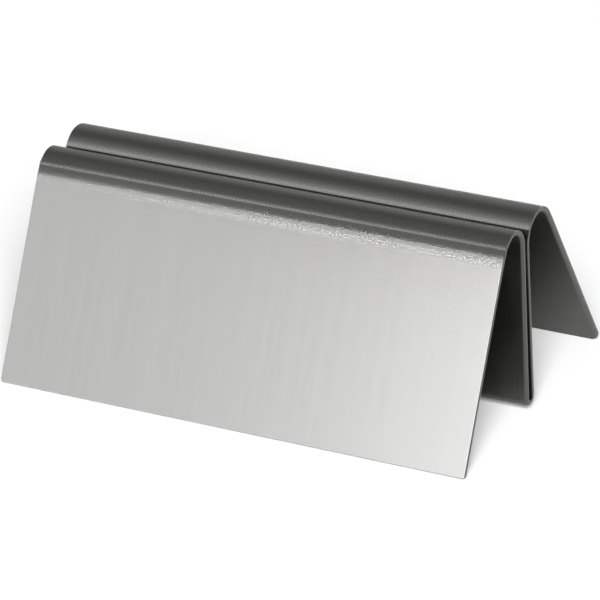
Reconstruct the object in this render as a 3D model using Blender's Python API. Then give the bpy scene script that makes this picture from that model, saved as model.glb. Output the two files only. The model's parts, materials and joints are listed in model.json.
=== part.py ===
"""Menu holder: one strip of stainless sheet folded into two tents with a card slot between them.

Metres, +Z up. X runs along the folds and Y from the front to the rear. The origin is on the table,
under the middle of the footprint. Each flat and each bend of the sheet is an object of its own,
parted from the next by a hairline at the bend line, and the fold under the slot is parted along its
lowest line, because the two halves spring apart about the fold. Both halves are worked out alike, in
two coordinates: out, away from the slot's middle plane, and up. The front half is turned half round.
"""

import math

import bmesh
import bpy
from mathutils import Vector

# Sheet
SHEET_LENGTH = 0.075
SHEET_THICKNESS = 0.0008

# Tents: outside radius of each ridge, and where each leg stands, from the slot's middle plane
RIDGE_HEIGHT = 0.0299
FRONT_RIDGE_RADIUS = 0.0035
REAR_RIDGE_RADIUS = 0.0042
FRONT_FOOT_REACH = 0.0211
REAR_FOOT_REACH = 0.0231
FRONT_CORNER_RADIUS = 0.0004
REAR_CORNER_RADIUS = 0.0013

# Card slot: its width at the fold and where the ridges pinch it, and the fold's height off the table
SLOT_FLOOR_GAP = 0.0011
SLOT_PINCH_GAP = 0.0007
FOLD_LIFT = 0.0009

# Hairline between a flat and the bend it runs into, and along the bottom of the fold
BEND_LINE_GAP = 0.0003

# Coarseness of the round stretches, and the crease past which two faces aren't shaded as one
BEND_STEP = math.radians(6)
CORNER_STEPS = 6
CREASE_ANGLE = math.radians(30)

# Brushed stainless steel
STEEL_COLOUR = (0.58, 0.57, 0.55)
STEEL_ROUGHNESS = 0.32
STEEL_METALLIC = 1.0

FOLD_RADIUS = SLOT_FLOOR_GAP / 2 + SHEET_THICKNESS / 2
FOLD_HEIGHT = FOLD_LIFT + SLOT_FLOOR_GAP / 2 + SHEET_THICKNESS


def polar(radius, angle):
    """Point at a radius and an angle, the angle counted from out towards up."""
    return Vector((radius * math.cos(angle), radius * math.sin(angle)))


class Tent:
    """Section of one tent: its ridge's centre, how its wall and leg lean, and where they start."""

    def __init__(self, name, ridge_radius, foot_reach, corner_radius):
        self.name = name
        self.corner_radius = corner_radius
        self.inner_radius = ridge_radius - SHEET_THICKNESS
        self.middle_radius = ridge_radius - SHEET_THICKNESS / 2
        self.ridge_centre = Vector((SLOT_PINCH_GAP / 2 + ridge_radius, RIDGE_HEIGHT - ridge_radius))
        self.foot = Vector((foot_reach, 0.0))
        self.fold_centre = Vector((0.0, FOLD_HEIGHT))

        # The wall is the straight line that touches the fold on one side and the ridge on the other
        rise = self.ridge_centre - self.fold_centre
        spread = math.acos((FOLD_RADIUS + self.middle_radius) / rise.length)
        self.wall_lean = math.atan2(rise.y, rise.x) - spread
        self.wall_bottom = self.fold_centre + polar(FOLD_RADIUS, self.wall_lean)
        wall_top = self.ridge_centre - polar(self.middle_radius, self.wall_lean)
        self.wall_length = (wall_top - self.wall_bottom).length

        # The leg's underside touches the inside of the ridge and meets the table at the foot
        drop = self.foot - self.ridge_centre
        self.leg_lean = math.atan2(drop.y, drop.x) + math.acos(self.inner_radius / drop.length)
        self.leg_top = self.ridge_centre + polar(self.middle_radius, self.leg_lean)
        self.leg_length = math.sqrt(drop.length_squared - self.inner_radius**2)

    def outer_reach(self):
        """Furthest point of the tent from the slot's middle plane, at the leg's outer lower edge."""
        return self.foot.x + SHEET_THICKNESS * math.cos(self.leg_lean)


def steel_finish(node):
    """Material of one piece of the sheet."""
    material = bpy.data.materials.new(node + "_steel")
    material.use_nodes = True
    shader = material.node_tree.nodes["Principled BSDF"]
    shader.inputs["Base Color"].default_value = (*STEEL_COLOUR, 1.0)
    shader.inputs["Roughness"].default_value = STEEL_ROUGHNESS
    shader.inputs["Metallic"].default_value = STEEL_METALLIC
    return material


def place(node, shape, half, place_out_up, turn):
    """Object of one piece, made from its shape, hung on its half at a place in the section."""
    bmesh.ops.recalc_face_normals(shape, faces=shape.faces)
    mesh = bpy.data.meshes.new(node)
    shape.to_mesh(mesh)
    shape.free()
    mesh.materials.append(steel_finish(node))
    piece = bpy.data.objects.new(node, mesh)
    bpy.context.scene.collection.objects.link(piece)
    piece.parent = half
    piece.location = (0.0, place_out_up.x, place_out_up.y - FOLD_HEIGHT)
    piece.rotation_euler = (turn, 0.0, 0.0)
    return piece


def rounded_end(length, radius):
    """Outline points of a panel's free end, across the sheet, with both corners rounded."""
    points = []
    for side, first in ((1, 0.0), (-1, math.pi / 2)):
        centre = Vector((side * (SHEET_LENGTH / 2 - radius), length - radius))
        for step in range(CORNER_STEPS + 1):
            points.append(centre + polar(radius, first + step * math.pi / 2 / CORNER_STEPS))
    return points


def square_end(length):
    """Outline points of a panel's end that runs into a bend, short of the bend line."""
    return [
        Vector((SHEET_LENGTH / 2, length - BEND_LINE_GAP)),
        Vector((-SHEET_LENGTH / 2, length - BEND_LINE_GAP)),
    ]


def flat(node, half, start_out_up, turn, far_end):
    """Flat stretch of sheet that starts just past a bend line and ends in the given far end."""
    outline = [Vector((-SHEET_LENGTH / 2, BEND_LINE_GAP)), Vector((SHEET_LENGTH / 2, BEND_LINE_GAP))]
    outline += far_end
    shape = bmesh.new()
    under = shape.faces.new([shape.verts.new((*point, -SHEET_THICKNESS / 2)) for point in outline])
    raised = bmesh.ops.extrude_face_region(shape, geom=[under])["geom"]
    top = [item for item in raised if isinstance(item, bmesh.types.BMVert)]
    bmesh.ops.translate(shape, verts=top, vec=(0.0, 0.0, SHEET_THICKNESS))
    return place(node, shape, half, start_out_up, turn)


def bend(node, half, centre_out_up, inner_radius, start, end):
    """Bent stretch of sheet: its edge-on rectangle, spun round the bend's centre between two angles."""
    corners = (
        (-SHEET_LENGTH / 2, inner_radius),
        (SHEET_LENGTH / 2, inner_radius),
        (SHEET_LENGTH / 2, inner_radius + SHEET_THICKNESS),
        (-SHEET_LENGTH / 2, inner_radius + SHEET_THICKNESS),
    )
    shape = bmesh.new()
    edge_on = shape.faces.new([shape.verts.new((x, *polar(radius, start))) for x, radius in corners])
    bmesh.ops.spin(
        shape,
        geom=[edge_on, *edge_on.edges, *edge_on.verts],
        cent=(0.0, 0.0, 0.0),
        axis=(1.0, 0.0, 0.0),
        angle=end - start,
        steps=math.ceil((end - start) / BEND_STEP),
    )
    piece = place(node, shape, half, centre_out_up, 0.0)
    piece.data.shade_smooth()
    piece.data.set_sharp_from_angle(angle=CREASE_ANGLE)
    return piece


def make_half(name, slot_y, half_turn):
    """Empty on the fold's axis, about which one half of the sheet springs open."""
    half = bpy.data.objects.new(name, None)
    bpy.context.scene.collection.objects.link(half)
    half.location = (0.0, slot_y, FOLD_HEIGHT)
    half.rotation_euler = (0.0, 0.0, half_turn)
    return half


def make_tent(tent, half):
    """Half of the fold, then the wall, ridge and leg of one half."""
    bend(
        tent.name + "_slot_fold",
        half,
        tent.fold_centre,
        SLOT_FLOOR_GAP / 2,
        BEND_LINE_GAP / 2 / FOLD_RADIUS - math.pi / 2,
        tent.wall_lean,
    )
    flat(
        tent.name + "_slot_wall",
        half,
        tent.wall_bottom,
        math.pi / 2 + tent.wall_lean,
        square_end(tent.wall_length),
    )
    bend(
        tent.name + "_ridge",
        half,
        tent.ridge_centre,
        tent.inner_radius,
        tent.leg_lean,
        math.pi + tent.wall_lean,
    )
    flat(
        tent.name + "_leg",
        half,
        tent.leg_top,
        tent.leg_lean - math.pi / 2,
        rounded_end(tent.leg_length, tent.corner_radius),
    )


def main():
    """Clears the scene and builds the menu holder."""
    for item in list(bpy.data.objects):
        bpy.data.objects.remove(item, do_unlink=True)
    front = Tent("front", FRONT_RIDGE_RADIUS, FRONT_FOOT_REACH, FRONT_CORNER_RADIUS)
    rear = Tent("rear", REAR_RIDGE_RADIUS, REAR_FOOT_REACH, REAR_CORNER_RADIUS)
    slot_y = (front.outer_reach() - rear.outer_reach()) / 2
    front_half = make_half("front_half", slot_y, math.pi)
    rear_half = make_half("rear_half", slot_y, 0.0)
    make_tent(front, front_half)
    make_tent(rear, rear_half)


main()
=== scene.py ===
"""Looks of the menu holder: one strip of brushed stainless sheet, cut, deburred and folded.

Metres, +Z up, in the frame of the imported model: X along the folds, Y from the front to the rear, and
the table at zero. The sheet is laid out as a flat blank and then folded along its section. The section
is worked out for each half alike, in two coordinates: out, away from the slot's middle plane, and up.
A small studio with a pale floor stands round it.
"""

import json
import logging
import math
from collections.abc import Iterator
from dataclasses import dataclass, field, replace
from enum import Enum

import bmesh
import bpy
from mathutils import Matrix, Vector


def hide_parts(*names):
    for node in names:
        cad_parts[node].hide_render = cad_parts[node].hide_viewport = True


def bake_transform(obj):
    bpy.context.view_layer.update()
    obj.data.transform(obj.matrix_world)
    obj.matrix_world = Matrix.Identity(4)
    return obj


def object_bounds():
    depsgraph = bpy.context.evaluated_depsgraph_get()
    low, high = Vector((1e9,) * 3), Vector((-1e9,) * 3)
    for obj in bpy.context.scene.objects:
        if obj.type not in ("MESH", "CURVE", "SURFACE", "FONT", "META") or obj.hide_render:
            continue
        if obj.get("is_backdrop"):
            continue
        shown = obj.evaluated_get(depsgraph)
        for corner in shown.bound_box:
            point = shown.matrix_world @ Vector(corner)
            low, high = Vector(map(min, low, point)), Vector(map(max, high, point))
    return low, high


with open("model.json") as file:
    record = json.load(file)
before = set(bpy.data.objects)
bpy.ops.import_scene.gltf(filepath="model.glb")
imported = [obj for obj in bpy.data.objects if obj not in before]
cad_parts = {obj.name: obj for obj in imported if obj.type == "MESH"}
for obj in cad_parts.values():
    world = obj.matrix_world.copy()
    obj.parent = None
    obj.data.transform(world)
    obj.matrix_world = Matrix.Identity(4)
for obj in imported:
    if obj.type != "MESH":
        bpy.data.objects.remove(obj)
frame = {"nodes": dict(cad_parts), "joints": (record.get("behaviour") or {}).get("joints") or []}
LOG = logging.getLogger("menu_holder")

BLANK_MAP = "blank"
STRAIN_NAME = "bend_strain"

# Digits that count when a length is divided into steps
COUNT_DIGITS = 6


class Half(Enum):
    """Half of the sheet, valued by the way that it goes from the slot along Y."""

    FRONT = -1
    REAR = 1

    @property
    def body(self) -> str:
        """Name of the body that the half is."""
        return f"{self.name.lower()}_half"


class Growth(Enum):
    """How the turn of a stretch of sheet is shared out along its length."""

    EVEN = "even"
    RISING = "rising"
    FADING = "fading"

    def share(self, part: float) -> float:
        """Share of the turn that is made after a part of the length.

        Args:
            part: Part of the stretch's length, from 0 to 1.

        Returns:
            The share of the turn, from 0 to 1.
        """
        if self is Growth.RISING:
            return part**2
        if self is Growth.FADING:
            return 1 - (1 - part) ** 2
        return part


class SheetFinish(Enum):
    """Finish of a face of the sheet, valued by its place in the sheet's list of materials."""

    BRUSHED = 0
    MILL_AND_SHADE = 1
    # the back and the slot's walls: dull, and dark with painted shade
    CUT = 2
# the edges: dark with painted shade


@dataclass(frozen=True)
class Stretch:
    """Flat, bend or run-out of the section.

    Attributes:
        length: Developed length.
        turn: Angle that the sheet turns through, positive to its face side.
        growth: How the turn is shared out.
        step: Longest step from one row of points to the next.
        strain: How hard the skin is worked, at even steps from the start to the end: above 0 where a
        bend stretches it, 2 at the sharpest, and below 0 where the press rubs it, to -1, which also
        brings specks of painted glint.
        finish: Finish of the face side.
    """

    length: float
    turn: float
    growth: Growth
    step: float
    strain: tuple[float, ...] = (0.0, 0.0)
    finish: SheetFinish = SheetFinish.BRUSHED

    def strain_at(self, part: float) -> float:
        """Strain after a part of the length.

        Args:
            part: Part of the stretch's length, from 0 to 1.

        Returns:
            The strain, from -1 to 2.
        """
        last = len(self.strain) - 1
        before = min(int(part * last), last - 1)
        start, end = self.strain[before : before + 2]
        return start + (end - start) * (part * last - before)


@dataclass(frozen=True)
class Row:
    """Straight line across the folded sheet.

    Attributes:
        along: Developed distance from the fold's lowest line, negative on the front half.
        place: Point of the line at the sheet's middle, halfway through its thickness.
        forward: Direction along the blank, from the front leg to the rear leg.
        facing: Direction out of the sheet's face side.
        strain: How hard the skin is worked there.
        finish: Finish of the face side.
        half_width: Half of the blank's width.
        edge_lean: Angle of the blank's edge there, 0 on a side and a right angle on an end.
    """

    along: float
    place: Vector
    forward: Vector
    facing: Vector
    strain: float
    finish: SheetFinish
    half_width: float
    edge_lean: float = 0.0

    def point(self, across: float, ahead: float, height: float) -> Vector:
        """Point of the folded sheet near this row.

        Args:
            across: Distance from the sheet's middle along X.
            ahead: Distance from the row along the blank.
            height: Distance from the middle of the thickness, positive to the face side.

        Returns:
            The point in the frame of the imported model.
        """
        return self.place + Vector((across, 0.0, 0.0)) + self.forward * ahead + self.facing * height


def polar(radius: float, angle: float) -> Vector:
    """Point at a radius and an angle, the angle counted from out towards up."""
    return Vector((radius * math.cos(angle), radius * math.sin(angle)))


@dataclass(frozen=True)
class Step:
    """Place on the walk along the section.

    Attributes:
        along: Developed distance from the start.
        place: Place in out and up, halfway through the thickness.
        heading: Angle of the way ahead, counted from out towards up.
        strain: How hard the skin is worked there.
        finish: Finish of the face side.
    """

    along: float
    place: Vector
    heading: float
    strain: float
    finish: SheetFinish


def travel(stretches: list[Stretch], place: Vector, heading: float) -> Iterator[Step]:
    """Walks along stretches of the section.

    Args:
        stretches: Stretches, in order.
        place: Where the walk starts, in out and up.
        heading: Angle of the way ahead at the start.

    Yields:
        The start, and then each step.
    """
    along = 0.0
    yield Step(along, place.copy(), heading, stretches[0].strain[0], stretches[0].finish)
    for stretch in stretches:
        if stretch.length <= 0.0:
            continue
        steps = math.ceil(round(stretch.length / stretch.step, COUNT_DIGITS))
        start = heading
        for number in range(1, steps + 1):
            part = number / steps
            after = start + stretch.turn * stretch.growth.share(part)
            bow = (after - heading) / 2
            chord = stretch.length / steps * (math.sin(bow) / bow if bow else 1.0)
            place = place + polar(chord, heading + bow)
            along += stretch.length / steps
            heading = after
            yield Step(along, place.copy(), heading, stretch.strain_at(part), stretch.finish)


@dataclass(frozen=True)
class Slot:
    """Card slot between the walls.

    Attributes:
        middle_y: Where its middle plane lies along Y.
        fold_height: Height of the fold's axis.
        floor_gap: Width at the fold.
        pinch_gap: Width where the ridges pinch a card.
    """

    middle_y: float
    fold_height: float
    floor_gap: float = 0.0011
    pinch_gap: float = 0.0007


@dataclass(frozen=True)
class RunOut:
    """Stretch of a flat that the bend beside it pulls a little round.

    Attributes:
        length: Developed length.
        turn: Angle that it turns through.
        strain: How hard the skin is worked, at even steps from the ridge to the flat.
    """

    length: float
    turn: float
    strain: tuple[float, ...] = (0.0, 0.0)


@dataclass(frozen=True)
class Shoulder:
    """Bend that the press leaves between a ridge's crown and its leg.

    Attributes:
        radius: Outside radius.
        turn: Angle that it turns through.
        strain: How hard the skin is worked.
    """

    radius: float
    turn: float
    strain: float


@dataclass(frozen=True)
class Ridge:
    """Rounded ridge of one half: a crown, its shoulders and a run-out on each side.

    Attributes:
        radius: Outside radius, taken over the whole turn.
        strain: How hard the skin is worked on the crown.
        mouth: Angle of the crown beside the wall that the brush didn't reach, and that takes the back's
            finish with its painted shade.
        wall_run_out: Run-out on the wall.
        leg_run_out: Run-out on the leg.
        shoulders: Bends from the crown down to the leg.
    """

    radius: float
    strain: float
    mouth: float
    wall_run_out: RunOut
    leg_run_out: RunOut
    shoulders: tuple[Shoulder, ...] = ()


@dataclass(frozen=True)
class Tent:
    """Section of one half: its half of the fold, then its wall, ridge and leg.

    Attributes:
        half: Which half it is.
        slot: Card slot that the wall stands beside.
        thickness: Thickness of the sheet.
        ridge_height: Height of the ridge's top.
        ridge: Shape of the ridge.
        foot_reach: Distance from the slot's middle plane to the leg's inner lower edge.
        corner_radius: Radius of the leg's lower corners.
        edge_radius: Radius of the deburred back edges.
        bend_step: Longest step between rows on a bend, as an angle.
        bend_reach: Longest step between rows on a bend, as a length.
        flat_step: Longest step between rows on a flat.
        run_out_step: Longest step between rows on a run-out.
        line_step: Length of the short row that keeps a flat flat up to its bend line.
        fit_rounds: How many halvings find the crown's radius.
    """

    half: Half
    slot: Slot
    thickness: float
    ridge_height: float
    ridge: Ridge
    foot_reach: float
    corner_radius: float
    edge_radius: float
    bend_step: float = math.radians(3.0)
    bend_reach: float = 0.0002
    flat_step: float = 0.0025
    run_out_step: float = 0.0002
    line_step: float = 0.0001
    fit_rounds: int = 40

    @property
    def fold_radius(self) -> float:
        """Radius of the fold, halfway through the thickness."""
        return (self.slot.floor_gap + self.thickness) / 2

    @property
    def fold_bottom(self) -> Vector:
        """Lowest point of the fold in out and up, halfway through the thickness."""
        return Vector((0.0, self.slot.fold_height - self.fold_radius))

    def leans(self) -> tuple[float, float]:
        """Works out how the wall and the leg lean.

        Returns:
            The angles of the wall's back and of the leg's face, counted from out towards up.
        """
        radius = self.ridge.radius
        middle_radius = radius - self.thickness / 2
        inner_radius = radius - self.thickness
        ridge_centre = Vector((self.slot.pinch_gap / 2 + radius, self.ridge_height - radius))
        rise = ridge_centre - Vector((0.0, self.slot.fold_height))
        drop = Vector((self.foot_reach, 0.0)) - ridge_centre
        wall = math.atan2(rise.y, rise.x) - math.acos((self.fold_radius + middle_radius) / rise.length)
        leg = math.atan2(drop.y, drop.x) + math.acos(inner_radius / drop.length)
        return wall, leg

    def bend(
        self,
        radius: float,
        turn: float,
        strain: float = 0.0,
        finish: SheetFinish = SheetFinish.BRUSHED,
    ) -> Stretch:
        """Evenly bent stretch.

        Args:
            radius: Radius halfway through the thickness.
            turn: Angle that it turns through, positive to the face side.
            strain: How hard the skin is worked.
            finish: Finish of the face side.

        Returns:
            The stretch.
        """
        step = min(radius * self.bend_step, self.bend_reach)
        return Stretch(radius * abs(turn), turn, Growth.EVEN, step, (strain, strain), finish)

    def stretches(self, crown_radius: float) -> list[Stretch]:
        """Stretches of the section, from the fold's lowest line to the start of the leg's corners.

        Args:
            crown_radius: Radius of the crown, halfway through the thickness.

        Returns:
            The stretches, with the wall and the leg as long as it takes to stand on the foot.
        """
        wall_lean, leg_lean = self.leans()
        before, after = self.ridge.wall_run_out, self.ridge.leg_run_out
        shoulders = [
            self.bend(shoulder.radius - self.thickness / 2, -shoulder.turn, shoulder.strain)
            for shoulder in self.ridge.shoulders
        ]
        crown_turn = math.pi + wall_lean - leg_lean - before.turn - after.turn - self.ridge.mouth
        crown_turn += sum(stretch.turn for stretch in shoulders)
        # the fold, the wall and the crown's mouth take the back's finish, dark with painted shade of the
        # slot
        mill_and_shade = SheetFinish.MILL_AND_SHADE
        fold = self.bend(self.fold_radius, math.pi / 2 + wall_lean, finish=mill_and_shade)
        bends = [
            Stretch(before.length, -before.turn, Growth.RISING, self.run_out_step, finish=mill_and_shade),
            self.bend(crown_radius, -self.ridge.mouth, finish=mill_and_shade),
            self.bend(crown_radius, -crown_turn, self.ridge.strain),
            *shoulders,
            Stretch(after.length, -after.turn, Growth.FADING, self.run_out_step, after.strain),
        ]

        foot = Vector((self.foot_reach, 0.0)) + polar(self.thickness / 2, leg_lean)
        foot.y -= self.edge_radius * (math.cos(leg_lean) + math.sin(leg_lean) - 1)
        fold_end = list(travel([fold], self.fold_bottom, 0.0))[-1]
        ridge_end = list(travel(bends, fold_end.place, fold_end.heading))[-1]
        wall_way = polar(1.0, fold_end.heading)
        leg_way = polar(1.0, ridge_end.heading)
        gap = foot - ridge_end.place
        wall_length = gap.cross(leg_way) / wall_way.cross(leg_way)
        leg_length = wall_way.cross(gap) / wall_way.cross(leg_way)
        return [
            fold,
            Stretch(self.line_step, 0.0, Growth.EVEN, self.line_step, finish=mill_and_shade),
            Stretch(wall_length - self.line_step, 0.0, Growth.EVEN, self.flat_step, finish=mill_and_shade),
            *bends,
            Stretch(leg_length - self.corner_radius, 0.0, Growth.EVEN, self.flat_step),
        ]

    def walk(self, crown_radius: float) -> list[Step]:
        """Steps along the section, from the fold's lowest line to the start of the leg's corners.

        Args:
            crown_radius: Radius of the crown, halfway through the thickness.

        Returns:
            The steps.
        """
        return list(travel(self.stretches(crown_radius), self.fold_bottom, 0.0))

    def crown_radius(self) -> float:
        """Finds the crown that brings the ridge's top to its height.

        Returns:
            The crown's radius, halfway through the thickness.
        """
        low, high = self.thickness, 2 * self.ridge.radius
        for _ in range(self.fit_rounds):
            radius = (low + high) / 2
            top = max(step.place.y for step in self.walk(radius)) + self.thickness / 2
            if top > self.ridge_height:
                low = radius
            else:
                high = radius
        return radius

    def rows(self, half_width: float, corner_steps: int) -> list[Row]:
        """Rows of the half, from the fold's lowest line to the end of the leg.

        Args:
            half_width: Half of the blank's width.
            corner_steps: How many steps round off each lower corner of the leg.

        Returns:
            The rows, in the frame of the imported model.
        """
        walked = self.walk(self.crown_radius())
        made = [self._row(step, half_width) for step in walked]
        last = walked[-1]
        for number in range(1, corner_steps + 1):
            lean = math.pi / 2 * number / corner_steps
            ahead = self.corner_radius * math.sin(lean)
            step = replace(last, along=last.along + ahead, place=last.place + polar(ahead, last.heading))
            made.append(self._row(step, half_width - self.corner_radius * (1 - math.cos(lean)), lean))
        return made

    def _row(self, step: Step, half_width: float, edge_lean: float = 0.0) -> Row:
        """Row at a step of the section.

        Args:
            step: Step along the section.
            half_width: Half of the blank's width.
            edge_lean: Angle of the blank's edge.

        Returns:
            The row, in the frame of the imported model.
        """
        way = self.half.value
        ahead = polar(1.0, step.heading)
        face = polar(1.0, step.heading + math.pi / 2)
        return Row(
            way * step.along,
            Vector((0.0, self.slot.middle_y + way * step.place.x, step.place.y)),
            Vector((0.0, ahead.x, way * ahead.y)),
            Vector((0.0, way * face.x, face.y)),
            step.strain,
            step.finish,
            half_width,
            way * edge_lean,
        )


@dataclass(frozen=True)
class Grain:
    """Noise drawn out along the blank, as a brush draws it.

    Attributes:
        width: Size of a mark across the sheet.
        length: Size of a mark along the sheet.
        detail: How many finer octaves it holds.
    """

    width: float
    length: float
    detail: float

    def add(self, tree: bpy.types.NodeTree, blank: bpy.types.NodeSocket) -> bpy.types.NodeSocket:
        """Adds the noise to a material.

        Args:
            tree: Node tree of the material.
            blank: Place on the flat blank, in metres.

        Returns:
            The noise, about 0 to 1.
        """
        stretched = tree.nodes.new("ShaderNodeMapping")
        stretched.inputs["Scale"].default_value = (1 / self.width, 1 / self.length, 1.0)
        noise = tree.nodes.new("ShaderNodeTexNoise")
        noise.inputs["Scale"].default_value = 1.0
        noise.inputs["Detail"].default_value = self.detail
        tree.links.new(blank, stretched.inputs["Vector"])
        tree.links.new(stretched.outputs["Vector"], noise.inputs["Vector"])
        return noise.outputs["Fac"]


def spread(
    tree: bpy.types.NodeTree,
    value: bpy.types.NodeSocket,
    low: float,
    high: float,
    taken: tuple[float, float] = (0.25, 0.75),
) -> bpy.types.NodeSocket:
    """Spreads a stretch of a value over a range.

    Args:
        tree: Node tree of the material.
        value: Value to spread, such as a noise or the strain.
        low: Result at the start of the stretch and before it.
        high: Result at the end of the stretch and past it.
        taken: Start and end of the stretch, the middle half of a noise if none is given.

    Returns:
        The spread value.
    """
    node = tree.nodes.new("ShaderNodeMapRange")
    node.inputs["From Min"].default_value = taken[0]
    node.inputs["From Max"].default_value = taken[1]
    node.inputs["To Min"].default_value = low
    node.inputs["To Max"].default_value = high
    tree.links.new(value, node.inputs["Value"])
    return node.outputs["Result"]


def join(
    tree: bpy.types.NodeTree, operation: str, first: bpy.types.NodeSocket, second: bpy.types.NodeSocket
) -> bpy.types.NodeSocket:
    """Joins two values with one of the math node's operations.

    Args:
        tree: Node tree of the material.
        operation: Name of the operation.
        first: First value.
        second: Second value.

    Returns:
        The joined value.
    """
    node = tree.nodes.new("ShaderNodeMath")
    node.operation = operation
    tree.links.new(first, node.inputs[0])
    tree.links.new(second, node.inputs[1])
    return node.outputs[0]


def mean(
    tree: bpy.types.NodeTree, first: bpy.types.NodeSocket, second: bpy.types.NodeSocket
) -> bpy.types.NodeSocket:
    """Mean of two noises, each spread from 0 to 1."""
    return join(tree, "ADD", spread(tree, first, 0.0, 1 / 2), spread(tree, second, 0.0, 1 / 2))


def tint(
    tree: bpy.types.NodeTree,
    dark: tuple[float, float, float],
    light: tuple[float, float, float],
    share: bpy.types.NodeSocket,
) -> bpy.types.NodeSocket:
    """Mixes two colours.

    Args:
        tree: Node tree of the material.
        dark: Colour where the share is 0.
        light: Colour where the share is 1.
        share: Share of the light colour.

    Returns:
        The mixed colour.
    """
    node = tree.nodes.new("ShaderNodeMix")
    node.data_type = "RGBA"
    node.inputs["A"].default_value = (*dark, 1.0)
    node.inputs["B"].default_value = (*light, 1.0)
    tree.links.new(share, node.inputs["Factor"])
    return node.outputs["Result"]


def emboss(tree: bpy.types.NodeTree, shader: bpy.types.Node, height: bpy.types.NodeSocket) -> None:
    """Gives a shader a fine relief.

    Args:
        tree: Node tree of the material.
        shader: Shader of the material.
        height: Height of the relief, in metres.
    """
    bump = tree.nodes.new("ShaderNodeBump")
    bump.inputs["Distance"].default_value = 1.0
    tree.links.new(height, bump.inputs["Height"])
    tree.links.new(bump.outputs["Normal"], shader.inputs["Normal"])


def place_on_blank(tree: bpy.types.NodeTree) -> bpy.types.NodeSocket:
    """Adds the place on the flat blank to a material.

    Args:
        tree: Node tree of the material.

    Returns:
        The place, in metres.
    """
    place = tree.nodes.new("ShaderNodeUVMap")
    place.uv_map = BLANK_MAP
    return place.outputs["UV"]


def new_finish(name: str, metallic: float) -> tuple[bpy.types.Material, bpy.types.Node]:
    """Starts the material of a finish.

    Args:
        name: Name of the material.
        metallic: 1 for a metal and 0 for paint.

    Returns:
        The material and its shader.
    """
    made = bpy.data.materials.new(name)
    made.use_nodes = True
    shader = made.node_tree.nodes["Principled BSDF"]
    shader.inputs["Metallic"].default_value = metallic
    return made, shader


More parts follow.
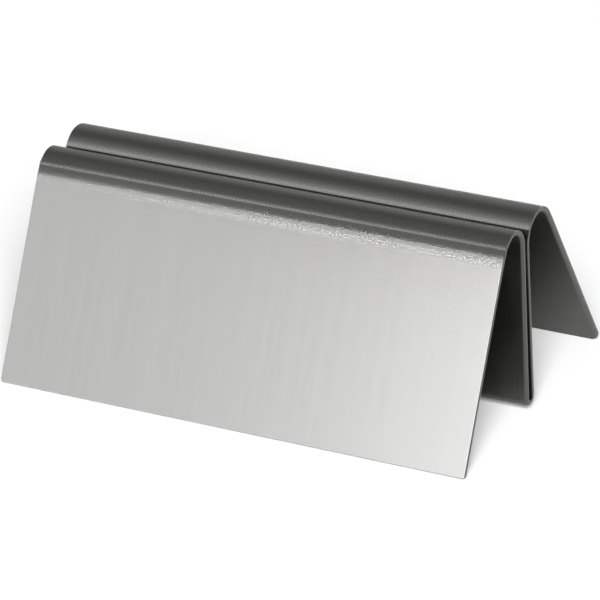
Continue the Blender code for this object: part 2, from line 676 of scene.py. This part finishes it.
@dataclass(frozen=True)
class BrushedSteel:
    """Satin face of the sheet, brushed along the section, grainy on the bends, specked with painted glints
    beside one.

    Attributes:
        dark: Colour in the depth of the grain.
        light: Colour on the crest of the grain.
        grazing: Tint at a grazing angle, where the brush marks hide one another, dark enough to paint shade
            along the silhouettes.
        painted_glint: Colour of the specks, lighter than steel: painted glints on the crests of the peel.
        glint_threshold: Where the peel starts to take the painted glint and where it takes it fully.
        sharpest: Strain of the sharpest bend.
        dull_strain: Strain at which the press starts to dull the skin, and at which it has dulled it.
        speck_strain: Strain at which specks start, and at which they are all there; the specks carry the
            painted glints.
        roughness: Lowest and highest roughness that the grain gives.
        worked_roughness: How much a strain of 1, or a dulled skin, adds.
        streak_roughness: How much the broad streaks add or take.
        anisotropy: How much wider the gloss spreads across the grain than along it.
        grain: Brush marks.
        streak: Broad streaks that the brush leaves.
        peel: Fine peel of the skin where it is worked.
        grain_depth: Depth of the brush marks.
        peel_depth: Depth of the peel where the strain is 1 or the specks are.
        peel_shade: How much the peel darkens and lightens a bend.
        speck_shade: How much it darkens the valleys and lightens the crests of the peel among the specks,
            adding to their painted glints.
    """

    dark: tuple[float, float, float] = (0.565, 0.562, 0.555)
    light: tuple[float, float, float] = (0.595, 0.592, 0.585)
    grazing: tuple[float, float, float] = (0.3, 0.3, 0.3)
    painted_glint: tuple[float, float, float] = (1.0, 0.998, 0.99)
    glint_threshold: tuple[float, float] = (0.55, 0.6)
    sharpest: float = 2.0
    dull_strain: tuple[float, float] = (-0.05, -0.3)
    speck_strain: tuple[float, float] = (-0.4, -0.7)
    roughness: tuple[float, float] = (0.14, 0.16)
    worked_roughness: float = 0.14
    streak_roughness: float = 0.003
    anisotropy: float = 0.8
    grain: Grain = Grain(0.00008, 0.006, 3.0)
    streak: Grain = Grain(0.0012, 0.08, 2.0)
    peel: Grain = Grain(0.00019, 0.00021, 1.0)
    grain_depth: float = 0.0000008
    peel_depth: float = 0.000002
    peel_shade: float = 0.25
    speck_shade: float = 0.5

    def material(self) -> bpy.types.Material:
        """Makes the finish.

        Returns:
            The material of the brushed faces.
        """
        made, shader = new_finish("brushed_steel", 1.0)
        tree = made.node_tree
        shader.inputs["Anisotropic"].default_value = self.anisotropy
        # the grazing tint paints shade along the silhouettes
        shader.inputs["Specular Tint"].default_value = (*self.grazing, 1.0)
        across = tree.nodes.new("ShaderNodeTangent")
        across.direction_type = "UV_MAP"
        across.uv_map = BLANK_MAP
        tree.links.new(across.outputs["Tangent"], shader.inputs["Tangent"])

        blank = place_on_blank(tree)
        marks = self.grain.add(tree, blank)
        streaks = self.streak.add(tree, blank)
        skin = self.peel.add(tree, blank)
        attribute = tree.nodes.new("ShaderNodeAttribute")
        attribute.attribute_name = STRAIN_NAME
        strain = attribute.outputs["Fac"]
        stretched = spread(tree, strain, 0.0, self.sharpest, (0.0, self.sharpest))
        dulled = spread(tree, strain, 0.0, 1.0, self.dull_strain)
        specked = spread(tree, strain, 0.0, 1.0, self.speck_strain)

        colour = tint(tree, self.dark, self.light, mean(tree, marks, streaks))
        bend_tone = spread(tree, skin, -self.peel_shade, self.peel_shade)
        # darker valleys and lighter crests among the specks, which add to the painted glints
        speck_tone = spread(tree, skin, -self.speck_shade, self.speck_shade)
        tone = join(
            tree,
            "ADD",
            join(tree, "MULTIPLY", bend_tone, stretched),
            join(tree, "MULTIPLY", speck_tone, specked),
        )
        shaded = tree.nodes.new("ShaderNodeVectorMath")
        shaded.operation = "MULTIPLY_ADD"
        tree.links.new(colour, shaded.inputs[0])
        tree.links.new(tone, shaded.inputs[1])
        tree.links.new(colour, shaded.inputs[2])
        # painted glints: the peel's crests among the specks take a colour lighter than steel, which stands
        # in for highlights
        crests = spread(tree, skin, 0.0, 1.0, self.glint_threshold)
        specks = tree.nodes.new("ShaderNodeMix")
        specks.data_type = "RGBA"
        specks.inputs["B"].default_value = (*self.painted_glint, 1.0)
        tree.links.new(join(tree, "MULTIPLY", crests, specked), specks.inputs["Factor"])
        tree.links.new(shaded.outputs["Vector"], specks.inputs["A"])
        tree.links.new(specks.outputs["Result"], shader.inputs["Base Color"])

        gloss = join(
            tree,
            "ADD",
            spread(tree, marks, *self.roughness),
            spread(tree, streaks, -self.streak_roughness, self.streak_roughness),
        )
        worked = join(tree, "ADD", stretched, dulled)
        added = spread(tree, worked, 0.0, self.sharpest * self.worked_roughness, (0.0, self.sharpest))
        tree.links.new(join(tree, "ADD", gloss, added), shader.inputs["Roughness"])

        peeled = join(tree, "ADD", stretched, specked)
        peel = join(tree, "MULTIPLY", spread(tree, skin, 0.0, self.peel_depth), peeled)
        emboss(tree, shader, join(tree, "ADD", spread(tree, marks, 0.0, self.grain_depth), peel))
        return made


@dataclass(frozen=True)
class MillBackAndShade:
    """Back of the sheet, dull as it came from the rolls, its colours far darker than steel: painted shade
    for the tents' insides and the slot.

    Attributes:
        dark: Colour of the darkest scale, darkened as painted shade.
        light: Colour of the lightest scale, darkened as painted shade.
        light: Colour of the lightest scale.
        roughness: Lowest and highest roughness.
        roll: Faint lines that the rolls leave.
        cloud: Broad patches.
        roll_depth: Depth of the lines.
    """

    dark: tuple[float, float, float] = (0.085, 0.084, 0.082)
    light: tuple[float, float, float] = (0.12, 0.119, 0.116)
    roughness: tuple[float, float] = (0.44, 0.52)
    roll: Grain = Grain(0.00025, 0.008, 3.0)
    cloud: Grain = Grain(0.004, 0.006, 2.0)
    roll_depth: float = 0.000001

    def material(self) -> bpy.types.Material:
        """Makes the finish.

        Returns:
            The material of the sheet's back.
        """
        made, shader = new_finish("mill_back_painted_shade", 1.0)
        tree = made.node_tree
        blank = place_on_blank(tree)
        lines = self.roll.add(tree, blank)
        patches = self.cloud.add(tree, blank)
        # colours far darker than steel: painted shade
        colour = tint(tree, self.dark, self.light, mean(tree, lines, patches))
        tree.links.new(colour, shader.inputs["Base Color"])
        tree.links.new(spread(tree, patches, *self.roughness), shader.inputs["Roughness"])
        emboss(tree, shader, spread(tree, lines, 0.0, self.roll_depth))
        return made


@dataclass(frozen=True)
class CutEdgeAndShade:
    """Sheared and deburred edge of the sheet, its colours far darker than steel: painted shade on the
    edges.

    Attributes:
        dark: Colour of the torn part of the cut, darkened as painted shade.
        light: Colour of the part that the shear polished, darkened as painted shade.
        roughness: Lowest and highest roughness.
        tear: Marks of the shear.
        tear_depth: Depth of the marks.
    """

    dark: tuple[float, float, float] = (0.09, 0.089, 0.087)
    light: tuple[float, float, float] = (0.16, 0.158, 0.155)
    roughness: tuple[float, float] = (0.36, 0.52)
    tear: Grain = Grain(0.0003, 0.0003, 4.0)
    tear_depth: float = 0.000006

    def material(self) -> bpy.types.Material:
        """Makes the finish.

        Returns:
            The material of the cut edges.
        """
        made, shader = new_finish("cut_edge_painted_shade", 1.0)
        tree = made.node_tree
        place = tree.nodes.new("ShaderNodeTexCoord")
        marks = self.tear.add(tree, place.outputs["Object"])
        # colours far darker than steel: painted shade on the edges
        colour = tint(tree, self.dark, self.light, spread(tree, marks, 0.0, 1.0))
        tree.links.new(colour, shader.inputs["Base Color"])
        tree.links.new(spread(tree, marks, *self.roughness), shader.inputs["Roughness"])
        emboss(tree, shader, spread(tree, marks, 0.0, self.tear_depth))
        return made


@dataclass
class FoldedSheet:
    """The holder's one sheet: a blank with rounded corners and deburred edges, folded along its section.

    Attributes:
        slot: Card slot between the two halves.
        length: Length along the folds.
        ridge_height: Height of both ridges.
        thickness: Thickness of the sheet.
        front_ridge: Shape of the front ridge.
        rear_ridge: Shape of the rear ridge.
        front_foot_reach: Where the front leg stands, from the slot's middle plane.
        rear_foot_reach: Where the rear leg stands, from the slot's middle plane.
        front_corner_radius: Radius of the front leg's lower corners.
        rear_corner_radius: Radius of the rear leg's lower corners.
        face_burr: Radius of the deburred edges on the face side.
        back_burr: Radius of the deburred edges on the back.
        burr_steps: How many steps round off each deburred edge.
        worn_steps: How many of those steps, from the face side, the brush still reaches.
        corner_steps: How many steps round off each lower corner.
        columns: How many columns of faces lie across the sheet.
        edge_column: Width of the narrow column that keeps the faces flat up to their edges.
        rub_and_glint_tilt: How much harder the press rubs the right end than the middle, and softer the
            left; it also puts more painted glints to the right.
        hinge_half_width: Half of the strip along the fold's bottom that bends when the slot opens; not
            used.
        brushed: Finish of the face side.
        mill_and_shade: Finish of the back and of the fold, walls and crowns' mouths beside the slot, dark
            with painted shade.
        cut: Finish of the edges, dark with painted shade.
    """

    slot: Slot
    length: float
    ridge_height: float
    thickness: float = 0.0008
    front_ridge: Ridge = Ridge(
        radius=0.0035,
        strain=1.0,
        mouth=math.radians(30),
        wall_run_out=RunOut(length=0.0012, turn=math.radians(0.3)),
        leg_run_out=RunOut(
            length=0.0035,
            turn=math.radians(6.1),
            # below 0: the rubbed band under the front ridge, specked with painted glints
            strain=(0.0, 0.0, 0.0, 0.0, -0.1, -0.55, -1.0, -0.5, -0.1, 0.0, 0.0),
        ),
        shoulders=(
            Shoulder(radius=0.0105, turn=math.radians(6), strain=1.0),
            Shoulder(radius=0.0018, turn=math.radians(14), strain=1.5),
            Shoulder(radius=0.00085, turn=math.radians(7.5), strain=2.0),
        ),
    )
    rear_ridge: Ridge = Ridge(
        radius=0.0042,
        strain=1.0,
        mouth=math.radians(28),
        wall_run_out=RunOut(length=0.0026, turn=math.radians(3.4)),
        leg_run_out=RunOut(length=0.0026, turn=math.radians(3.4), strain=(1.0, 0.0)),
    )
    front_foot_reach: float = 0.0211
    rear_foot_reach: float = 0.0231
    front_corner_radius: float = 0.0004
    rear_corner_radius: float = 0.0013
    face_burr: float = 0.0001
    back_burr: float = 0.0004
    burr_steps: int = 4
    worn_steps: int = 2
    corner_steps: int = 8
    columns: int = 24
    edge_column: float = 0.00008
    rub_and_glint_tilt: float = 0.6
    hinge_half_width: float = 0.0003
    brushed: BrushedSteel = field(default_factory=BrushedSteel)
    mill_and_shade: MillBackAndShade = field(default_factory=MillBackAndShade)
    cut: CutEdgeAndShade = field(default_factory=CutEdgeAndShade)

    def rows(self) -> list[Row]:
        """Lays out both halves.

        Returns:
            The rows across the sheet, from the end of the front leg to the end of the rear leg.
        """
        halves = (
            (Half.FRONT, self.front_ridge, self.front_foot_reach, self.front_corner_radius),
            (Half.REAR, self.rear_ridge, self.rear_foot_reach, self.rear_corner_radius),
        )
        made = []
        for half, ridge, foot_reach, corner_radius in halves:
            tent = Tent(
                half,
                self.slot,
                self.thickness,
                self.ridge_height,
                ridge,
                foot_reach,
                corner_radius,
                self.back_burr,
            )
            made.append(tent.rows(self.length / 2, self.corner_steps))
        front, rear = made
        return front[:0:-1] + rear

    def rim(self) -> list[tuple[float, float]]:
        """Works out the points round a deburred edge.

        Returns:
            Their inset and height, from the face side to the back.
        """
        angles = [math.pi / 2 * step / self.burr_steps for step in range(self.burr_steps + 1)]
        face = [
            (
                self.face_burr * (1 - math.sin(angle)),
                self.thickness / 2 - self.face_burr * (1 - math.cos(angle)),
            )
            for angle in angles
        ]
        back = [
            (
                self.back_burr * (1 - math.sin(angle)),
                self.back_burr * (1 - math.cos(angle)) - self.thickness / 2,
            )
            for angle in reversed(angles)
        ]
        return face + back

    def column_places(self) -> list[float]:
        """Shares out the columns across a face.

        Returns:
            Their places, as parts of the face's half width.
        """
        margin = self.edge_column / (self.length / 2)
        inner = [(1 - margin) * (2 * step / self.columns - 1) for step in range(self.columns + 1)]
        return [-1.0, *inner, 1.0]

    def mesh(self) -> bpy.types.Mesh:
        """Folds the blank.

        Returns:
            The mesh, with its place on the blank as a map and its strain as an attribute.
        """
        shape = bmesh.new()
        strain = shape.verts.layers.float.new(STRAIN_NAME)
        blank = shape.verts.layers.float_vector.new(BLANK_MAP)
        rows = self.rows()
        rim = self.rim()
        columns = self.column_places()

        def vertex(row: Row, part: float, ring: int) -> bmesh.types.BMVert:
            """Adds a vertex on a row.

            Args:
                row: Row that it lies on.
                part: Part of the row's half width.
                ring: Place round the deburred edge.

            Returns:
                The vertex.
            """
            inset, height = rim[ring]
            across = part * (row.half_width - inset * math.cos(row.edge_lean))
            ahead = -inset * math.sin(row.edge_lean)
            # the tilt also brings more of the painted glints towards the right end
            tilt = self.rub_and_glint_tilt * part if row.strain < 0 else 0.0
            made = shape.verts.new(row.point(across, ahead, height))
            made[strain] = row.strain * (1 + tilt)
            made[blank] = (across, row.along + ahead, height)
            return made

        last = len(rim) - 1
        loops = []
        for row in rows:
            face = [vertex(row, part, 0) for part in columns]
            right = [vertex(row, 1.0, ring) for ring in range(1, last)]
            under = [vertex(row, part, last) for part in reversed(columns)]
            left = [vertex(row, -1.0, ring) for ring in range(last - 1, 0, -1)]
            loops.append(face + right + under + left)
        self._wrap(shape, rows, loops)

        side = len(columns)
        for row, loop in ((rows[0], loops[0]), (rows[-1], loops[-1])):
            grid = [loop[:side]]
            for ring in range(1, last):
                between = [vertex(row, part, ring) for part in columns[1:-1]]
                grid.append([loop[-ring], *between, loop[side + ring - 1]])
            grid.append(loop[side + last - 1 : 2 * side + last - 1][::-1])
            self._close_end(shape, grid)

        bmesh.ops.recalc_face_normals(shape, faces=shape.faces)
        chart = shape.loops.layers.uv.new(BLANK_MAP)
        for made in shape.faces:
            made.smooth = True
            for corner in made.loops:
                corner[chart].uv = corner.vert[blank].xy
        shape.verts.layers.float_vector.remove(blank)
        mesh = bpy.data.meshes.new("folded_sheet")
        shape.to_mesh(mesh)
        shape.free()
        return mesh

    def _wrap(
        self, shape: bmesh.types.BMesh, rows: list[Row], loops: list[list[bmesh.types.BMVert]]
    ) -> None:
        """Adds the face side, the sides and the back between each row and the next.

        Args:
            shape: Mesh in the making.
            rows: Rows across the sheet.
            loops: Vertices round the sheet at each row: face side, right side, back and left side.
        """
        count = len(loops[0])
        side = len(self.column_places())
        right = count // 2 - side
        back = range(side + right, 2 * side + right - 1)
        for row, near, far in zip(rows, loops, loops[1:]):
            for place in range(count):
                after = (place + 1) % count
                made = shape.faces.new((near[place], near[after], far[after], far[place]))
                finish = SheetFinish.CUT
                if place < side - 1 + self.worn_steps or place >= count - self.worn_steps:
                    finish = row.finish
                # the back takes its finish, dark with painted shade of the tents' insides
                elif place in back:
                    finish = SheetFinish.MILL_AND_SHADE
                made.material_index = finish.value

    def _close_end(self, shape: bmesh.types.BMesh, grid: list[list[bmesh.types.BMVert]]) -> None:
        """Adds the cut end of a leg.

        Args:
            shape: Mesh in the making.
            grid: Vertices of the end, in lines from the face side to the back.
        """
        for level, (upper, lower) in enumerate(zip(grid, grid[1:])):
            finish = SheetFinish.BRUSHED if level < self.worn_steps else SheetFinish.CUT
            for place in range(len(upper) - 1):
                made = shape.faces.new((upper[place], upper[place + 1], lower[place + 1], lower[place]))
                made.material_index = finish.value

    def build(self) -> bpy.types.Object:
        """Dresses the sheet, bakes its place and hides the imported parts.

        Returns:
            The sheet.
        """
        mesh = self.mesh()
        finishes = {
            SheetFinish.BRUSHED: self.brushed,
            SheetFinish.MILL_AND_SHADE: self.mill_and_shade,
            SheetFinish.CUT: self.cut,
        }
        for finish in sorted(finishes, key=lambda option: option.value):
            mesh.materials.append(finishes[finish].material())
        sheet = bpy.data.objects.new("folded_sheet", mesh)
        bpy.context.scene.collection.objects.link(sheet)

        Half.REAR.body
        Half.FRONT.body
        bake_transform(sheet)
        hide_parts(*frame["nodes"])
        return sheet


@dataclass(frozen=True)
class Floor:
    """Pale floor that sweeps up into a low wall all round.

    Attributes:
        flat_radius: Radius of the flat part.
        sweep_radius: Radius of the curve from the floor to the wall.
        wall_height: Height of the wall's top.
        turns: How many steps go round.
        sweep_steps: How many steps the curve takes.
        colour: Darkest and lightest colour.
        mottle: Faint mottle of the paint.
        roughness: Roughness.
        weld_gap: Distance under which two points of the mesh become one.
    """

    flat_radius: float = 1.7
    sweep_radius: float = 0.2
    wall_height: float = 0.25
    turns: int = 96
    sweep_steps: int = 12
    colour: tuple[float, float] = (0.90, 0.93)
    mottle: Grain = Grain(0.05, 0.05, 3.0)
    roughness: float = 0.9
    weld_gap: float = 0.00001

    def material(self) -> bpy.types.Material:
        """Makes the finish.

        Returns:
            Matt pale paint with a faint mottle.
        """
        made, shader = new_finish("pale_floor", 0.0)
        tree = made.node_tree
        shader.inputs["Roughness"].default_value = self.roughness
        shader.inputs["Specular IOR Level"].default_value = 0.0
        place = tree.nodes.new("ShaderNodeTexCoord")
        marks = self.mottle.add(tree, place.outputs["Object"])
        tree.links.new(spread(tree, marks, *self.colour), shader.inputs["Base Color"])
        return made

    def build(self) -> bpy.types.Object:
        """Turns the floor and its wall as one mesh.

        Returns:
            The floor.
        """
        profile = [Vector((0.0, 0.0, 0.0)), Vector((self.flat_radius, 0.0, 0.0))]
        for step in range(1, self.sweep_steps + 1):
            angle = math.pi / 2 * step / self.sweep_steps
            reach = self.flat_radius + self.sweep_radius * math.sin(angle)
            profile.append(Vector((reach, 0.0, self.sweep_radius * (1 - math.cos(angle)))))
        profile.append(Vector((self.flat_radius + self.sweep_radius, 0.0, self.wall_height)))

        shape = bmesh.new()
        points = [shape.verts.new(point) for point in profile]
        edges = [shape.edges.new(pair) for pair in zip(points, points[1:])]
        bmesh.ops.spin(
            shape,
            geom=[*points, *edges],
            cent=(0.0, 0.0, 0.0),
            axis=(0.0, 0.0, 1.0),
            angle=math.tau,
            steps=self.turns,
            use_merge=True,
        )
        bmesh.ops.remove_doubles(shape, verts=shape.verts, dist=self.weld_gap)
        bmesh.ops.recalc_face_normals(shape, faces=shape.faces)
        mesh = bpy.data.meshes.new("floor")
        shape.to_mesh(mesh)
        shape.free()
        mesh.shade_smooth()
        mesh.materials.append(self.material())
        floor = bpy.data.objects.new("floor", mesh)
        bpy.context.scene.collection.objects.link(floor)
        floor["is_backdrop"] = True
        return floor


def from_front(azimuth: float, elevation: float) -> Vector:
    """Direction from the holder, by its angle from the front towards the right and its angle up.

    Args:
        azimuth: Angle from the front (-Y) towards the right (+X).
        elevation: Angle above the table.

    Returns:
        The direction, one long.
    """
    level = math.cos(elevation)
    return Vector((math.sin(azimuth) * level, -math.cos(azimuth) * level, math.sin(elevation)))


@dataclass(frozen=True)
class SoftBox:
    """Soft rectangular lamp that points at the holder.

    Attributes:
        name: Name of the lamp.
        azimuth: Angle from the front towards the right.
        elevation: Angle above the table.
        width: Width across.
        height: Height up and down.
        radiance: How bright it looks, 1 for white.
        distance: Distance from the holder.
        mirrored: True if it shows in metal, False if it lights matt surfaces instead.
    """

    name: str
    azimuth: float
    elevation: float
    width: float
    height: float
    radiance: float
    distance: float = 1.2
    mirrored: bool = True

    def build(self) -> bpy.types.Object:
        """Hangs the lamp.

        Returns:
            The lamp.
        """
        lamp = bpy.data.lights.new(self.name, "AREA")
        lamp.shape = "RECTANGLE"
        lamp.size = self.width
        lamp.size_y = self.height
        lamp.energy = self.radiance * math.pi * self.width * self.height
        made = bpy.data.objects.new(self.name, lamp)
        bpy.context.scene.collection.objects.link(made)
        away = from_front(self.azimuth, self.elevation)
        made.location = away * self.distance
        made.rotation_euler = away.to_track_quat("Z", "Y").to_euler()
        made.visible_camera = False
        made.visible_glossy = self.mirrored
        made.visible_diffuse = not self.mirrored
        return made


@dataclass(frozen=True)
class Room:
    """Dim room round the floor.

    Attributes:
        tones: Angle from the front over the top to the back, and the grey seen there.
    """

    tones: tuple[tuple[float, float], ...] = (
        (math.radians(0), 0.08),
        (math.radians(39), 0.16),
        (math.radians(44), 0.61),
        (math.radians(49), 0.56),
        (math.radians(57), 0.34),
        (math.radians(68), 0.22),
        (math.radians(90), 0.11),
        (math.radians(110), 0.085),
        (math.radians(130), 0.14),
        (math.radians(150), 0.26),
        (math.radians(180), 0.36),
    )

    def build(self) -> bpy.types.World:
        """Puts the room round the scene.

        Returns:
            The world with the room's tones.
        """
        world = bpy.data.worlds.new("dim_room")
        world.use_nodes = True
        tree = world.node_tree
        place = tree.nodes.new("ShaderNodeTexCoord")
        parts = tree.nodes.new("ShaderNodeSeparateXYZ")
        front = tree.nodes.new("ShaderNodeMath")
        front.operation = "MULTIPLY"
        front.inputs[1].default_value = -1.0
        angle = tree.nodes.new("ShaderNodeMath")
        angle.operation = "ARCTAN2"
        turn = tree.nodes.new("ShaderNodeMath")
        turn.operation = "DIVIDE"
        turn.inputs[1].default_value = math.pi
        ramp = tree.nodes.new("ShaderNodeValToRGB")
        while len(ramp.color_ramp.elements) < len(self.tones):
            ramp.color_ramp.elements.new(1.0)
        for element, (rise, grey) in zip(ramp.color_ramp.elements, self.tones):
            element.position = rise / math.pi
            element.color = (grey, grey, grey, 1.0)
        tree.links.new(place.outputs["Generated"], parts.inputs["Vector"])
        tree.links.new(parts.outputs["Y"], front.inputs[0])
        tree.links.new(parts.outputs["Z"], angle.inputs[0])
        tree.links.new(front.outputs[0], angle.inputs[1])
        tree.links.new(angle.outputs[0], turn.inputs[0])
        tree.links.new(turn.outputs[0], ramp.inputs["Fac"])
        tree.links.new(ramp.outputs["Color"], tree.nodes["Background"].inputs["Color"])
        bpy.context.scene.world = world
        return world


@dataclass(frozen=True)
class Viewpoint:
    """Camera of the studio.

    Attributes:
        azimuth: Angle from the front towards the right.
        elevation: Angle above the table.
        roll: Tilt of the camera to its left.
        distance: Distance from the holder's slot.
        lens: Focal length, in millimetres on a sensor 36 mm wide.
        right: How far the camera stands to the right of its line to the slot.
        up: How far it stands above that line.
        clip: Nearest and furthest distance that it shows.
    """

    azimuth: float = math.radians(29.297)
    elevation: float = math.radians(27.101)
    roll: float = math.radians(-3.272)
    distance: float = 0.6435
    lens: float = 265.04
    right: float = 0.000276
    up: float = 0.009246
    clip: tuple[float, float] = (0.01, 20.0)

    def build(self, slot_y: float) -> bpy.types.Object:
        """Camera, made the scene's own.

        Args:
            slot_y: Where the slot's middle plane lies along Y.

        Returns:
            The camera.
        """
        back = from_front(self.azimuth, self.elevation)
        level = Vector((math.cos(self.azimuth), math.sin(self.azimuth), 0.0))
        upright = back.cross(level)
        right = level * math.cos(self.roll) + upright * math.sin(self.roll)
        above = upright * math.cos(self.roll) - level * math.sin(self.roll)
        place = back * self.distance + right * self.right + above * self.up
        place.y += slot_y

        data = bpy.data.cameras.new("camera")
        data.lens = self.lens
        data.clip_start, data.clip_end = self.clip
        camera = bpy.data.objects.new("camera", data)
        bpy.context.scene.collection.objects.link(camera)
        turned = Matrix((right, above, back)).transposed()
        camera.matrix_world = Matrix.Translation(place) @ turned.to_4x4()
        bpy.context.scene.camera = camera
        return camera


@dataclass
class Studio:
    """Floor, room, lamps and camera.

    Attributes:
        floor: Floor that the holder stands on.
        room: Room round the floor.
        viewpoint: Camera.
        lamps: Lamps round the holder.
    """

    floor: Floor = field(default_factory=Floor)
    room: Room = field(default_factory=Room)
    viewpoint: Viewpoint = field(default_factory=Viewpoint)
    lamps: tuple[SoftBox, ...] = (
        SoftBox("left_box", math.radians(-41), math.radians(8), width=0.78, height=0.81, radiance=0.66),
        SoftBox("front_box", math.radians(-16.5), math.radians(8), width=0.273, height=0.89, radiance=1.72),
        SoftBox("right_box", math.radians(10), math.radians(8), width=0.874, height=0.87, radiance=1.1),
        SoftBox("rim_strip", math.radians(-12), math.radians(29.6), width=0.65, height=0.012, radiance=8.0),
        SoftBox(
            "back_box",
            math.radians(145),
            math.radians(12),
            width=1.6,
            height=0.7,
            radiance=0.9,
            distance=1.4,
        ),
        SoftBox(
            "floor_fill",
            math.radians(29),
            math.radians(36),
            width=2.0,
            height=2.0,
            radiance=22.5,
            distance=4.0,
            mirrored=False,
        ),
    )

    def build(self, slot_y: float) -> None:
        """Sets up the studio round the holder.

        Args:
            slot_y: Where the slot's middle plane lies along Y.
        """
        bpy.context.scene.view_settings.view_transform = "Standard"
        self.room.build()
        for piece in (self.floor.build(), self.viewpoint.build(slot_y)):
            LOG.info("studio: %s", piece.name)
        for lamp in self.lamps:
            LOG.info("studio: %s", lamp.build().name)


def main() -> None:
    """Builds the sheet and the studio."""
    logging.basicConfig(level=logging.INFO, format="%(message)s")
    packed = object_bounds()
    hinge = frame["joints"][0]["pos_m"]
    slot = Slot(middle_y=hinge[1], fold_height=hinge[2])
    holder = FoldedSheet(slot, length=packed[1].x - packed[0].x, ridge_height=packed[1].z)
    sheet = holder.build()
    LOG.info("piece: %s, %d faces", sheet.name, len(sheet.data.polygons))
    Studio().build(slot.middle_y)


if __name__ == "__main__":
    main()
